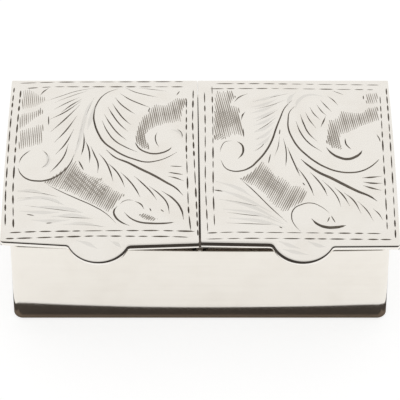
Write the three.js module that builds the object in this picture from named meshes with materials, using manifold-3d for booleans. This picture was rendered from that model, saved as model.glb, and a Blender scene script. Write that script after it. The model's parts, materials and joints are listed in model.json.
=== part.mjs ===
// Double pill box: a small silver case with two compartments and two arched lids.
// Units are millimetres, +Z is up and the lids' thumb tabs face -Y.
// The origin is the middle of the underside, on the surface that the case stands on.

import * as THREE from 'three';
import { mergeVertices } from 'three/addons/utils/BufferGeometryUtils.js';
import Module from 'manifold-3d';

const wasm = await Module();
wasm.setup();

// Lids
const LID_WIDTH = 24.85;
const LID_DEPTH = 30;
const LID_SPLIT = 0.3;
const LID_SHEET = 0.6;
const LID_ARCH = 1.3;
const LID_CORNER = 0.5;
const LID_EDGE_HEIGHT = 14.7;
const LID_SEAT_GAP = 0.3;

// The lids are cut by hand: narrower at the back, and parted on a lean to the left
const BACK_NARROWING = 0.25;
const SPLIT_LEAN = 0.33;

// How far a lid's front edge stands forward: at its left corner, on each side of the tab, at its right corner
const FRONT_LINE = { left: [-0.3, 0.24, 0.43, 0.1], right: [-0.03, 0.15, 0.43, 0.37] };

// Thumb tabs, one on the front edge of each lid
const TAB_RADIUS = 4.2;
const TAB_REACH = 2.8;
const TAB_FILLET = 0.5;
const TAB_SHIFT = { left: -0.1, right: 0.3 };

// Case
const SIDE_OVERHANG = 1.1;
const FRONT_OVERHANG = 0.9;
const CASE_CORNER = 1.2;
const WALL_SHEET = 0.7;
const BASE_SHEET = 1;
const BASE_EDGE = 0.3;
const DIVIDER_SHEET = 0.8;

// Hollow in the case's front rim: its drop at the left end, its sag below that, its lowest place and its run
const FRONT_RIM_DROP = 0.68;
const FRONT_RIM_SAG = 0.92;
const FRONT_RIM_LOW = 7;
const FRONT_RIM_RUN = 0.2;

// Friction bezels under the lids
const BEZEL_SHEET = 0.5;
const BEZEL_DEPTH = 2;
const BEZEL_FIT = 0.3;
const BEZEL_CORNER = 0.6;
const SWING_CLEARANCE = 0.15;

// Hinges, tucked under the lids' back edge
const HINGE_LENGTH = 20;
const KNUCKLE_DIAMETER = 2;
const KNUCKLE_GAP = 0.15;
const KNUCKLE_SETBACK = 0.1;
const KNUCKLE_DROP = 0.3;
const LID_LEG_WIDTH = 1.3;
const PIN_DIAMETER = 0.9;
const PIN_PROUD = 0.1;
const PIN_FIT = 0.05;
const PIN_RUN = 0.09;
const SOLDER_LINE = 0.05;

// Facets of the arch, of a plan outline's curve and of a hinge barrel
const ARCH_STEPS = 24;
const CURVE_STEPS = 7;
const BARREL_STEPS = 16;
const BEVEL_STEPS = 4;

// Room left around a solid that only cuts or trims another
const TRIM = 1;

// Places that follow from the sizes above
const lidReach = LID_WIDTH + LID_SPLIT / 2;
const lidFront = -LID_DEPTH / 2;
const lidBack = LID_DEPTH / 2;
const archRadius = (lidBack * lidBack + LID_ARCH * LID_ARCH) / (2 * LID_ARCH);
const archAngle = Math.asin(lidBack / archRadius);
const archCentre = LID_EDGE_HEIGHT - archRadius * Math.cos(archAngle);
const knuckleRadius = KNUCKLE_DIAMETER / 2;
const pinRadius = PIN_DIAMETER / 2;
const caseHalfWidth = lidReach - SIDE_OVERHANG;
const caseFront = lidFront + FRONT_OVERHANG;
const caseBack = lidBack - KNUCKLE_SETBACK - KNUCKLE_DIAMETER;
const innerHalfWidth = caseHalfWidth - WALL_SHEET;
const innerFront = caseFront + WALL_SHEET;
const innerBack = caseBack - WALL_SHEET;
const innerCorner = Math.max(CASE_CORNER - WALL_SHEET, WALL_SHEET / 4);
const hingeY = caseBack + knuckleRadius;
const hingeZ = archHeight(hingeY, LID_SHEET) - KNUCKLE_DROP - knuckleRadius;
const rimDrop = LID_SHEET + LID_SEAT_GAP;
const bezelBottom = archHeight(caseFront, rimDrop) - BEZEL_DEPTH;
const bezelFront = innerFront + BEZEL_FIT;
const rimRise = archHeight(innerBack, rimDrop) - hingeZ;
const rimSwing = Math.hypot(hingeY - innerBack, rimRise);
const bezelBack = Math.min(innerBack - BEZEL_FIT, hingeY - rimSwing - SWING_CLEARANCE);

const silver = new THREE.MeshStandardMaterial({ color: 0xe6e3dc, roughness: 0.22, metalness: 1 });
const innerSilver = new THREE.MeshStandardMaterial({ color: 0xd2cfc8, roughness: 0.38, metalness: 1 });
const pinSilver = new THREE.MeshStandardMaterial({ color: 0xc4c2bd, roughness: 0.3, metalness: 1 });

// Height of the surface that lies drop below the lids' arched top
function archHeight(y, drop) {
  const radius = archRadius - drop;
  return archCentre + Math.sqrt(radius * radius - y * y);
}

// Solids for joining and cutting

function toSolid(geometry) {
  const bare = geometry.clone();
  bare.deleteAttribute('normal');
  bare.deleteAttribute('uv');
  const merged = mergeVertices(bare);
  const vertProperties = new Float32Array(merged.attributes.position.array);
  const triVerts = new Uint32Array(merged.index.array);
  return new wasm.Manifold(new wasm.Mesh({ numProp: 3, vertProperties, triVerts }));
}

function toGeometry(solid) {
  const mesh = solid.getMesh();
  const geometry = new THREE.BufferGeometry();
  geometry.setAttribute('position', new THREE.BufferAttribute(new Float32Array(mesh.vertProperties), 3));
  geometry.setIndex(new THREE.BufferAttribute(new Uint32Array(mesh.triVerts), 1));
  geometry.computeVertexNormals();
  return geometry;
}

// A plan outline pushed up from one height to another
function upright(shape, bottom, top) {
  const geometry = new THREE.ExtrudeGeometry(shape, {
    depth: top - bottom,
    bevelEnabled: false,
    curveSegments: CURVE_STEPS,
  });
  geometry.translate(0, 0, bottom);
  return geometry;
}

// A side profile, drawn in Y and Z, pushed along X
function sideways(shape, from, to) {
  const geometry = new THREE.ExtrudeGeometry(shape, {
    depth: to - from,
    bevelEnabled: false,
    curveSegments: BARREL_STEPS / 2,
  });
  const turn = new THREE.Matrix4().set(0, 0, 1, from, 1, 0, 0, 0, 0, 1, 0, 0, 0, 0, 0, 1);
  geometry.applyMatrix4(turn);
  return geometry;
}

// Rectangle in plan with round corners
function roundedRectangle(left, right, front, back, radius) {
  const shape = new THREE.Shape();
  const quarter = Math.PI / 2;
  shape.moveTo(left + radius, front);
  shape.lineTo(right - radius, front);
  shape.absarc(right - radius, front + radius, radius, -quarter, 0, false);
  shape.lineTo(right, back - radius);
  shape.absarc(right - radius, back - radius, radius, 0, quarter, false);
  shape.lineTo(left + radius, back);
  shape.absarc(left + radius, back - radius, radius, quarter, 2 * quarter, false);
  shape.lineTo(left, front + radius);
  shape.absarc(left + radius, front + radius, radius, 2 * quarter, 3 * quarter, false);
  return shape;
}

// The lids' arch in profile, lying drop below their top, with straight ends of the given length
function archLine(drop, extension) {
  const radius = archRadius - drop;
  const points = [];
  for (let i = 0; i <= ARCH_STEPS; i += 1) {
    const angle = archAngle * (2 * i / ARCH_STEPS - 1);
    points.push(new THREE.Vector2(radius * Math.sin(angle), archCentre + radius * Math.cos(angle)));
  }
  const slant = new THREE.Vector2(Math.cos(archAngle), -Math.sin(archAngle)).multiplyScalar(extension);
  const first = points[0];
  const last = points[ARCH_STEPS];
  points.unshift(new THREE.Vector2(first.x - slant.x, first.y + slant.y));
  points.push(last.clone().add(slant));
  return points;
}

// Everything that lies below the lids by at least drop
function spaceUnderLids(drop) {
  const line = archLine(drop, TAB_REACH);
  const front = line[0].x;
  const back = line[line.length - 1].x;
  const shape = new THREE.Shape([new THREE.Vector2(front, -TRIM), new THREE.Vector2(back, -TRIM)]);
  for (const point of line.reverse()) {
    shape.lineTo(point.x, point.y);
  }
  return toSolid(sideways(shape, -lidReach - TRIM, lidReach + TRIM));
}

// Case

// Shallow hollow filed into the front rim from corner to corner, deepest to the right of the middle
function frontRimHollow() {
  const leftEnd = archHeight(caseFront, rimDrop) - FRONT_RIM_DROP;
  const top = LID_EDGE_HEIGHT + LID_ARCH + TRIM;
  const reach = caseHalfWidth + TRIM;
  const shape = new THREE.Shape();
  shape.moveTo(-reach, top);
  for (let i = 0; i <= ARCH_STEPS; i += 1) {
    const x = reach * (2 * i / ARCH_STEPS - 1);
    const away = (x - FRONT_RIM_LOW) / (caseHalfWidth + FRONT_RIM_LOW);
    shape.lineTo(x, leftEnd - FRONT_RIM_SAG * (1 - away * away));
  }
  shape.lineTo(reach, top);
  const geometry = new THREE.ExtrudeGeometry(shape, {
    depth: TRIM + WALL_SHEET + FRONT_RIM_RUN,
    bevelEnabled: false,
  });
  geometry.rotateX(Math.PI / 2);
  geometry.translate(0, innerFront + FRONT_RIM_RUN, 0);
  return toSolid(geometry);
}

function makeWallBand() {
  const outside = roundedRectangle(-caseHalfWidth, caseHalfWidth, caseFront, caseBack, CASE_CORNER);
  outside.holes.push(roundedRectangle(-innerHalfWidth, innerHalfWidth, innerFront, innerBack, innerCorner));
  const tall = toSolid(upright(outside, BASE_SHEET, LID_EDGE_HEIGHT + LID_ARCH + TRIM));
  return toGeometry(tall.intersect(spaceUnderLids(rimDrop)).subtract(frontRimHollow()));
}

function makeBasePlate() {
  const edge = Math.min(BASE_EDGE, BASE_SHEET, CASE_CORNER);
  const outline = roundedRectangle(-caseHalfWidth, caseHalfWidth, caseFront, caseBack, CASE_CORNER);
  const slab = new THREE.ExtrudeGeometry(outline, {
    depth: BASE_SHEET,
    bevelThickness: edge,
    bevelSize: edge,
    bevelOffset: -edge,
    bevelSegments: BEVEL_STEPS,
    curveSegments: CURVE_STEPS,
  });
  slab.translate(0, 0, edge);
  const around = roundedRectangle(
    -caseHalfWidth - TRIM,
    caseHalfWidth + TRIM,
    caseFront - TRIM,
    caseBack + TRIM,
    CASE_CORNER,
  );
  return toGeometry(toSolid(slab).intersect(toSolid(upright(around, -TRIM, BASE_SHEET))));
}

function makeDivider() {
  const half = DIVIDER_SHEET / 2;
  const outline = new THREE.Shape([
    new THREE.Vector2(-half, innerFront),
    new THREE.Vector2(half, innerFront),
    new THREE.Vector2(half, innerBack),
    new THREE.Vector2(-half, innerBack),
  ]);
  const tall = toSolid(upright(outline, BASE_SHEET, LID_EDGE_HEIGHT + LID_ARCH + TRIM));
  return toGeometry(tall.intersect(spaceUnderLids(rimDrop)));
}

// Lids

// Fillet between the front edge and the thumb tab, beside the tab's middle
function tabFillet(front, tabCentre) {
  const centre = front - TAB_FILLET;
  const rise = tabCentre - centre;
  const offset = Math.sqrt((TAB_RADIUS + TAB_FILLET) ** 2 - rise ** 2);
  return { centre, offset, meet: Math.atan2(rise, offset) };
}

// Plan of one lid: four small round corners and a round thumb tab filleted to the front edge
function lidOutline(side, left, right) {
  const isLeft = side === 'left';
  const [leftFront, beforeTab, afterTab, rightFront] = FRONT_LINE[side].map((forward) => lidFront - forward);
  const leftBack = left + (isLeft ? BACK_NARROWING : -SPLIT_LEAN);
  const rightBack = right - (isLeft ? SPLIT_LEAN : BACK_NARROWING);
  const tabMiddle = (left + right) / 2 + TAB_SHIFT[side];
  const tabCentre = lidFront - TAB_REACH * Math.cos(archAngle) + TAB_RADIUS;
  const before = tabFillet(beforeTab, tabCentre);
  const after = tabFillet(afterTab, tabCentre);
  const quarter = Math.PI / 2;
  const shape = new THREE.Shape();
  shape.moveTo(left, leftFront + LID_CORNER);
  shape.quadraticCurveTo(left, leftFront, left + LID_CORNER, leftFront);
  shape.lineTo(tabMiddle - before.offset, beforeTab);
  shape.absarc(tabMiddle - before.offset, before.centre, TAB_FILLET, quarter, before.meet, true);
  shape.absarc(tabMiddle, tabCentre, TAB_RADIUS, Math.PI + before.meet, 2 * Math.PI - after.meet, false);
  shape.absarc(tabMiddle + after.offset, after.centre, TAB_FILLET, Math.PI - after.meet, quarter, true);
  shape.lineTo(right - LID_CORNER, rightFront);
  shape.quadraticCurveTo(right, rightFront, right, rightFront + LID_CORNER);
  shape.lineTo(rightBack, lidBack - LID_CORNER);
  shape.quadraticCurveTo(rightBack, lidBack, rightBack - LID_CORNER, lidBack);
  shape.lineTo(leftBack + LID_CORNER, lidBack);
  shape.quadraticCurveTo(leftBack, lidBack, leftBack, lidBack - LID_CORNER);
  return shape;
}

function makeLidPlate(side, left, right) {
  const top = archLine(0, TAB_REACH + TRIM);
  const under = archLine(LID_SHEET, TAB_REACH + TRIM);
  const strip = toSolid(sideways(new THREE.Shape(under.concat(top.reverse())), left - TRIM, right + TRIM));
  const cutter = toSolid(upright(lidOutline(side, left, right), 0, LID_EDGE_HEIGHT + LID_ARCH + TRIM));
  return toGeometry(strip.intersect(cutter));
}

// Thin frame soldered under a lid, which slips inside one compartment and holds the lid shut
function makeBezel(left, right) {
  const outside = roundedRectangle(left, right, bezelFront, bezelBack, BEZEL_CORNER);
  const inner = Math.max(BEZEL_CORNER - BEZEL_SHEET, BEZEL_SHEET / 4);
  outside.holes.push(
    roundedRectangle(
      left + BEZEL_SHEET,
      right - BEZEL_SHEET,
      bezelFront + BEZEL_SHEET,
      bezelBack - BEZEL_SHEET,
      inner,
    ),
  );
  const tall = toSolid(upright(outside, bezelBottom, LID_EDGE_HEIGHT + LID_ARCH + TRIM));
  return toGeometry(tall.intersect(spaceUnderLids(LID_SHEET + SOLDER_LINE)));
}

// Hinges

// Round bar on the hinge axis
function hingeBar(radius, from, to) {
  const shape = new THREE.Shape();
  shape.absarc(hingeY, hingeZ, radius, 0, 2 * Math.PI, false);
  return sideways(shape, from, to);
}

// Knuckle profile pushed along the hinge, with its bore
function boredKnuckle(shape, boreRadius, from, to) {
  const bore = toSolid(hingeBar(boreRadius, from - TRIM, to + TRIM));
  return toSolid(sideways(shape, from, to)).subtract(bore);
}

// Half-round knuckle with its flat side soldered to the back wall
function makeCaseKnuckle(from, to) {
  const shape = new THREE.Shape();
  shape.moveTo(caseBack, hingeZ - knuckleRadius);
  shape.absarc(hingeY, hingeZ, knuckleRadius, -Math.PI / 2, Math.PI / 2, false);
  shape.lineTo(caseBack, hingeZ + knuckleRadius);
  return toGeometry(boredKnuckle(shape, pinRadius + PIN_FIT, from, to));
}

// Round knuckle with a short leg up to the lid's underside
function makeLidKnuckle(from, to) {
  const half = Math.min(LID_LEG_WIDTH / 2, knuckleRadius * Math.cos(Math.PI / BARREL_STEPS));
  const spread = Math.acos(half / knuckleRadius);
  const top = LID_EDGE_HEIGHT + LID_ARCH;
  const shape = new THREE.Shape();
  shape.moveTo(hingeY - half, top);
  shape.absarc(hingeY, hingeZ, knuckleRadius, Math.PI - spread, 2 * Math.PI + spread, false);
  shape.lineTo(hingeY + half, top);
  const tall = boredKnuckle(shape, pinRadius + PIN_RUN, from, to);
  return toGeometry(tall.intersect(spaceUnderLids(LID_SHEET + SOLDER_LINE)));
}

// Assembly

const pillBox = new THREE.Group();

function add(parent, name, geometry, material) {
  const mesh = new THREE.Mesh(geometry, material);
  mesh.name = name;
  parent.add(mesh);
}

add(pillBox, 'wall_band', makeWallBand(), silver);
add(pillBox, 'base_plate', makeBasePlate(), silver);
add(pillBox, 'divider', makeDivider(), innerSilver);

// Along each hinge the knuckles take turns: case, lid, case, lid, case
const KNUCKLE_OWNERS = ['case', 'lid', 'case', 'lid', 'case'];
const knucklePitch = (HINGE_LENGTH + KNUCKLE_GAP) / KNUCKLE_OWNERS.length;

for (const side of ['left', 'right']) {
  const isLeft = side === 'left';
  const lidLeft = isLeft ? -lidReach : LID_SPLIT / 2;
  const lidRight = lidLeft + LID_WIDTH;
  const roomLeft = isLeft ? -innerHalfWidth : DIVIDER_SHEET / 2;
  const roomRight = isLeft ? -DIVIDER_SHEET / 2 : innerHalfWidth;
  const hingeStart = (roomLeft + roomRight - HINGE_LENGTH) / 2;

  const lid = new THREE.Group();
  pillBox.add(lid);
  add(lid, `lid_plate_${side}`, makeLidPlate(side, lidLeft, lidRight), silver);
  add(lid, `lid_bezel_${side}`, makeBezel(roomLeft + BEZEL_FIT, roomRight - BEZEL_FIT), innerSilver);

  const counts = { case: 0, lid: 0 };
  KNUCKLE_OWNERS.forEach((owner, index) => {
    const from = hingeStart + index * knucklePitch;
    const to = from + knucklePitch - KNUCKLE_GAP;
    counts[owner] += 1;
    const name = `${owner}_knuckle_${side}_${counts[owner]}`;
    if (owner === 'case') {
      add(pillBox, name, makeCaseKnuckle(from, to), silver);
    } else {
      add(lid, name, makeLidKnuckle(from, to), silver);
    }
  });
  const pinFrom = hingeStart - PIN_PROUD;
  const pinTo = hingeStart + HINGE_LENGTH + PIN_PROUD;
  add(pillBox, `hinge_pin_${side}`, hingeBar(pinRadius, pinFrom, pinTo), pinSilver);
}

export default pillBox;
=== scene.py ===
import json
import math
import random

import bmesh
import bpy
from mathutils import Matrix, Vector


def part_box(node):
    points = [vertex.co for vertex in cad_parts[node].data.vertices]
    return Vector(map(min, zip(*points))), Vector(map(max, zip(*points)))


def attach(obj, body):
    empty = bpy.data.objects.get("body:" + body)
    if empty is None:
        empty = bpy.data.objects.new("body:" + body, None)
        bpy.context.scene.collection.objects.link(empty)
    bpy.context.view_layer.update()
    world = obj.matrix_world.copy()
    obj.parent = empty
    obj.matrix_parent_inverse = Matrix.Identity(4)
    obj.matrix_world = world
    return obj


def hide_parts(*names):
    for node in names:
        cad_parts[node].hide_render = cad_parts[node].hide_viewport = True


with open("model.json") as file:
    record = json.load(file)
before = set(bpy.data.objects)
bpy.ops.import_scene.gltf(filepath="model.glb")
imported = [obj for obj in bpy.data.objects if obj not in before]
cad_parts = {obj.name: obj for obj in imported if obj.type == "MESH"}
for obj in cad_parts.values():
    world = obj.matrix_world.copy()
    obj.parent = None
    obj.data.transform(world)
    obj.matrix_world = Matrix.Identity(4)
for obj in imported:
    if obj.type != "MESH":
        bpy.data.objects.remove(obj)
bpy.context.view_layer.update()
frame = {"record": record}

# Double pill box in polished silver: a two-room case with a pair of arched, engraved lids.
# Sizes are written in millimetres and turned into metres by MM. +Z is up and the thumb tabs face -Y.
MM = 0.001
# Distances within which two places count as one: when they are compared, merged and cut
NEAR = 1e-4
MERGED = 1e-5
EXACT = 1e-6
WIDTHWAYS = Vector((1.0, 0.0, 0.0))
DEPTHWAYS = Vector((0.0, 1.0, 0.0))

# Lids
LID_WIDTH = 24.85
LID_DEPTH = 30.0
LID_SHEET = 0.6
LID_ARCH = 1.3
BACK_NARROWING = 0.25
SPLIT_LEAN = 0.33
SPLIT_FRONT = 0.25
SPLIT_BACK = 0.05
# How far the hand-cut front edge stands forward: at its left corner, beside the tab's left and right ends,
# and at its right corner
FRONT_LINE = {"left": (-0.3, 0.24, 0.43, 0.1), "right": (-0.03, 0.15, 0.43, 0.37)}

# Thumb tabs
TAB_MIDDLE = {"left": -12.675, "right": 12.875}
TAB_RADIUS = 4.2
TAB_REACH = 2.8
TAB_FILLET = 0.5
TAB_STEPS = 40
FILLET_STEPS = 8

# Rounds on the lids' edges. The front edge's round is full near the middle of the box and slight near its
# ends, and changes between two distances from the middle. On a tab it is a share of that.
INNER_EDGE_ROUND = 0.54
OUTER_EDGE_ROUND = 0.22
EDGE_CHANGE = (8.0, 17.0)
TAB_EDGE_SHARE = {"left": 0.65, "right": 1.0}
SIDE_EDGE_ROUND = 0.06
UNDER_EDGE_ROUND = 0.05
INNER_CORNER_ROUND = 0.1
OUTER_CORNER_ROUND = 0.35
EDGE_STEPS = 6
# The front round has a painted dark reflection, of the dark room in front, where it leans up between these
# angles, in degrees
REFLECTION_LEAN = (15, 60)

# Case. The front rim lies lower than the others, by a drop and a sag that is deepest beside the divider.
WALL_SHEET = 0.7
CASE_CORNER = 1.2
CORNER_STEPS = 10
BASE_EDGE = 0.3
BASE_STEPS = 8
RIM_DROP = 0.9
FRONT_RIM_DROP = 0.68
FRONT_RIM_SAG = 0.92
FRONT_RIM_LOW = 7.0
RIM_ROUND = 0.12
RIM_STEPS = 3

# Bezels and hinges. Above a share of its radius, a lid's knuckle reaches up to the lid. A knuckle's ends are
# rounded where they lie further out than a number of bore radii.
BEZEL_SHEET = 0.5
BEZEL_CORNER = 0.6
SOLDER_LINE = 0.05
PIN_FIT = 0.05
PIN_RUN = 0.09
PIN_ROUND = 0.15
PIN_STEPS = 20
BARREL_STEPS = 40
KNUCKLE_ROUND = 0.08
KNUCKLE_STEPS = 2
LEG_START = 0.7
OUTSIDE_BORE = 1.2

# Strips that let a flat piece follow the arch, and angles in degrees at which edges are crisp
LID_STRIPS = 72
WALL_STRIPS = 48
COARSE_STRIPS = 36
RIM_ANGLE = 60
SHARP_ANGLE = 32
CUT_SHARP_ANGLE = 25
# Part of a face's normal from which it counts as facing up or out
FACING_UP = 0.3
FACING_OUT = 0.5

# Engraving: widths of the cuts, how deep a cut goes for half its width, and how wide its cutter's mouth is
BOLD, STRONG, DEEP, PLAIN, FINE, FAINT = 0.44, 0.36, 0.27, 0.20, 0.15, 0.10
CUT_SLOPE = 0.9
CUT_MOUTH = 2.0
CUT_TIP = 0.15
CUT_SWELL = 0.55
CUT_STEPS = 6
STRAIGHT_STEPS = 4
SOFT_WIDTH = 0.55
SOFT_SLOPE = 0.22
DASH_LENGTH = 1.7
DASH_GAP = 0.33
DASH_WIDTH = {"left": 0.24, "right": 0.2}
HATCH_PITCH = 0.265
HATCH_WIDTH = 0.2
SLIGHT_WIDTH = 0.13
CROSSED_PITCH = 0.3
CROSSED_WIDTH = 0.13
HATCH_TIP = 0.4
# A hand's unevenness: shares of a length, a gap or a width, between which each cut's own share is drawn
DASH_LENGTHS = (0.6, 1.5)
DASH_GAPS = (0.4, 1.4)
DASH_WIDTHS = (0.6, 1.15)
HATCH_TRIMS = (0.0, 0.06)
HATCH_WIDTHS = (0.75, 1.2)

# Finishes. Each noise has a scale, in patches to the metre, and a detail. The rubbing marks' scale is 1,
# because their space is stretched instead.
MARK_NOISE = (1.0, 4.0)
WAVE_NOISE = (140.0, 2.0)
STAIN_NOISE = (260.0, 5.0)
GRIME_NOISE = (700.0, 3.0)
STAIN_RANGE = (0.45, 0.85)
MARK_HEIGHT = 0.25
RELIEF_DEPTH = 0.05
OXIDE_METAL = 0.8
BEZEL_ROUGHNESS = 0.4
# A bezel's side has painted shade: its plain tone below the first height, and darkest above the second, close
# under the lid
BEZEL_SHADE_HEIGHTS = (12.5, 13.2)
WHITE = (1.0, 1.0, 1.0)

# Stage. A dark card under the box, a painted contact shadow seen only in the metal, reaches past the wall,
# more at its ends, and is paler near the wall's foot.
FLOOR_REACH = 1500.0
FLOOR_DROP = 0.02
FLOOR_TONE = (0.38, 0.38, 0.38)
FLOOR_GLOW = 0.73
FLOOR_ROUGHNESS = 0.9
CARD_MIDDLE = 2.02
CARD_END = {"left": 3.1, "right": 2.7}
CARD_FOOT = (0.49, 0.91)
# Tones of the painted shadow, away from the foot and close to it
CARD_SHADOW_TONE = (0.07, 0.056, 0.047)
CARD_FOOT_SHADOW_TONE = (0.208, 0.16, 0.122)
CARD_ROUGHNESS = 0.8
# Tones of the dome by depth, from 0 in front of the box to 1 behind it
DOME_TONES = (
    (0.05, (0.60, 0.595, 0.585)),
    (0.35, (0.70, 0.695, 0.685)),
    (0.60, (0.83, 0.826, 0.818)),
    (0.78, (0.85, 0.846, 0.837)),
)
SOFTBOX_PLACE = (0.0, 500.0, 520.0)
SOFTBOX_SIZE = 1000.0
SOFTBOX_POWER = 0.25

# View
VIEW_ELEVATION = math.radians(45)
VIEW_DISTANCE = 405.0
VIEW_HEIGHT = 7.45
VIEW_LENS = 280.6
VIEW_SENSOR = 36.0

# Sizes worked out from these and from the frame
SIDES = ("left", "right")
LID_BOX = {side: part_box("lid_plate_" + side) for side in SIDES}
LID_REACH = LID_BOX["right"][1][0] / MM
LID_TOP = LID_BOX["left"][1][2] / MM
LID_BACK = LID_DEPTH / 2
LID_FRONT = -LID_DEPTH / 2
ARCH_RADIUS = (LID_BACK ** 2 + LID_ARCH ** 2) / (2 * LID_ARCH)
ARCH_CENTRE = LID_TOP - ARCH_RADIUS
ARCH_ANGLE = math.asin(LID_BACK / ARCH_RADIUS)
TAB_CENTRE = LID_FRONT - TAB_REACH * math.cos(ARCH_ANGLE) + TAB_RADIUS
HINGE_AXIS = Vector(frame["record"]["behaviour"]["joints"][0]["pos_m"]) / MM
PIN_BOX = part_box("hinge_pin_left")
PIN_RADIUS = (PIN_BOX[1][1] - PIN_BOX[0][1]) / 2 / MM

# Each lid's pattern was laid out a little out of square.
# These are its corners in plan: front left and right, back left and right.
PATTERN_CORNERS = {
    "left": ((-24.94, -14.81), (-0.10, -15.02), (-24.75, 15.02), (-0.14, 15.02)),
    "right": ((0.07, -14.87), (24.81, -15.16), (0.08, 15.07), (24.76, 14.69)),
}

# Strokes are given on a lid in millimetres: across from its left edge, then up from its front edge.
LEFT_STROKES = {
    STRONG: [
        [(12.9, 15.5), (14.1, 14.1), (15.7, 13.2), (17.3, 12.1), (19.0, 11.0), (20.6, 9.8), (21.9, 8.8),
         (22.8, 7.6)],
    ],
    DEEP: [
        [(14.2, 28.1), (12.6, 27.0), (11.5, 24.9), (11.1, 22.3), (11.3, 20.4), (11.8, 18.6), (12.6, 16.9),
         (13.7, 15.7), (15.0, 14.6), (16.5, 13.8), (18.0, 13.3), (19.4, 13.5), (20.7, 14.1), (22.0, 15.1)],
        [(16.6, 16.9), (16.8, 16.4), (17.2, 15.7), (18.0, 15.1), (19.0, 14.8), (20.1, 15.0), (20.8, 15.4),
         (21.1, 15.7), (21.3, 16.0)],
        [(8.8, 14.6), (8.3, 12.9), (7.6, 11.7), (6.5, 10.6), (5.3, 10.0), (4.2, 9.9), (3.0, 10.2),
         (2.1, 11.1), (1.7, 12.1)],
        [(14.5, 5.8), (14.1, 5.0), (14.3, 4.1), (15.0, 3.3), (16.1, 2.7)],
        [(15.4, 4.8), (16.2, 3.9), (17.3, 3.3), (18.8, 3.1), (20.3, 3.1), (21.2, 3.2), (21.7, 3.3)],
        [(20.1, 8.3), (21.6, 7.0), (22.6, 5.3), (22.9, 3.7)],
    ],
    PLAIN: [
        [(9.4, 25.7), (8.1, 24.4), (6.8, 22.8)],
        [(9.3, 25.2), (7.3, 22.9), (5.4, 21.4)],
        [(9.2, 24.4), (7.3, 21.3), (5.6, 18.9)],
        [(8.9, 22.1), (7.6, 19.2), (6.2, 16.9)],
        [(8.6, 19.4), (7.6, 16.6), (6.4, 14.6)],
        [(8.0, 16.6), (7.5, 14.3), (6.7, 12.7), (5.8, 11.4)],
        [(3.9, 26.5), (4.4, 27.5), (5.0, 28.2)],
        [(14.5, 26.9), (15.8, 25.6), (17.1, 24.7), (18.4, 23.9)],
        [(13.8, 26.1), (14.6, 24.6), (15.5, 23.5), (16.5, 22.5)],
        [(13.5, 24.7), (14.2, 23.1), (15.0, 21.6), (16.0, 20.3)],
        [(12.9, 24.0), (13.6, 22.3), (14.5, 20.5), (15.6, 19.0)],
        [(12.5, 22.4), (13.3, 20.5), (14.3, 18.7), (15.5, 17.3)],
        [(12.2, 21.2), (13.0, 18.9), (14.0, 17.2), (15.4, 16.0), (16.9, 15.1)],
        [(9.9, 18.8), (10.0, 17.0), (9.9, 15.6), (9.7, 14.5)],
        [(10.2, 17.1), (10.6, 15.8), (10.8, 14.4), (10.8, 13.1)],
        [(10.9, 16.1), (11.4, 14.6), (11.9, 13.0), (11.9, 11.3)],
        [(12.0, 14.8), (12.9, 13.3), (13.5, 11.6), (13.9, 9.9)],
        [(13.2, 13.0), (14.1, 11.9), (14.9, 10.4), (15.4, 8.9)],
        [(14.8, 11.5), (15.9, 10.1), (16.8, 8.6), (17.4, 7.2)],
        [(16.6, 10.8), (17.7, 9.5), (18.7, 8.2), (19.5, 6.8)],
        [(18.5, 9.1), (19.8, 7.8), (20.8, 6.3), (21.1, 4.6)],
        [(9.4, 13.5), (10.1, 11.8)],
        [(16.7, 6.6), (17.5, 6.1), (17.9, 5.3)],
        [(20.9, 11.5), (22.8, 11.1)],
        [(20.9, 10.8), (21.9, 10.5), (22.9, 10.0)],
    ],
    FINE: [
        [(9.1, 26.1), (7.5, 24.9), (5.9, 23.5)],
        [(15.1, 28.3), (16.4, 27.3), (17.8, 26.7), (19.4, 26.1)],
        [(18.4, 23.9), (18.2, 22.9)],
        [(1.8, 13.0), (2.0, 13.9), (2.5, 14.7), (3.2, 15.4)],
        [(4.7, 15.4), (5.3, 14.6), (5.5, 13.6), (5.2, 12.7), (4.7, 12.2)],
        [(19.7, 16.0), (19.3, 17.0), (19.2, 18.0), (19.4, 18.8)],
        [(5.5, 9.3), (7.2, 8.2), (9.3, 7.0), (11.3, 5.9), (13.1, 4.6), (14.4, 3.1)],
        [(21.1, 12.6), (22.7, 12.5)],
        [(22.3, 27.5), (21.9, 26.6)],
        [(5.2, 22.1), (5.3, 20.2)],
        [(3.1, 4.4), (4.1, 4.2)],
        [(5.6, 3.0), (6.4, 3.1)],
        [(18.6, 5.5), (18.8, 5.0)],
        [(20.0, 5.3), (20.4, 4.9)],
        [(22.0, 19.5), (22.45, 19.0), (22.65, 18.4), (22.65, 17.8)],
    ],
    FAINT: [
        [(11.0, 25.9), (10.3, 23.1), (9.7, 20.4), (9.3, 17.5), (8.9, 15.2)],
        [(11.1, 28.2), (8.7, 27.5), (6.7, 26.4), (4.8, 25.3)],
        [(10.2, 27.6), (8.2, 26.5), (5.9, 25.0)],
        [(4.1, 23.9), (4.0, 22.6)],
        [(16.9, 28.2), (18.6, 27.9), (20.6, 27.5)],
        [(14.8, 6.1), (15.3, 6.6), (15.9, 6.8), (16.5, 6.7)],
        [(1.9, 7.0), (5.0, 7.0), (7.8, 5.9)],
        [(1.9, 8.1), (4.5, 7.9), (7.2, 7.2)],
        [(2.9, 5.8), (6.2, 5.3), (10.0, 4.7)],
        [(6.5, 4.1), (9.4, 3.9), (11.4, 3.8)],
        [(8.8, 2.8), (11.1, 2.8), (13.0, 2.5)],
    ],
}
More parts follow.
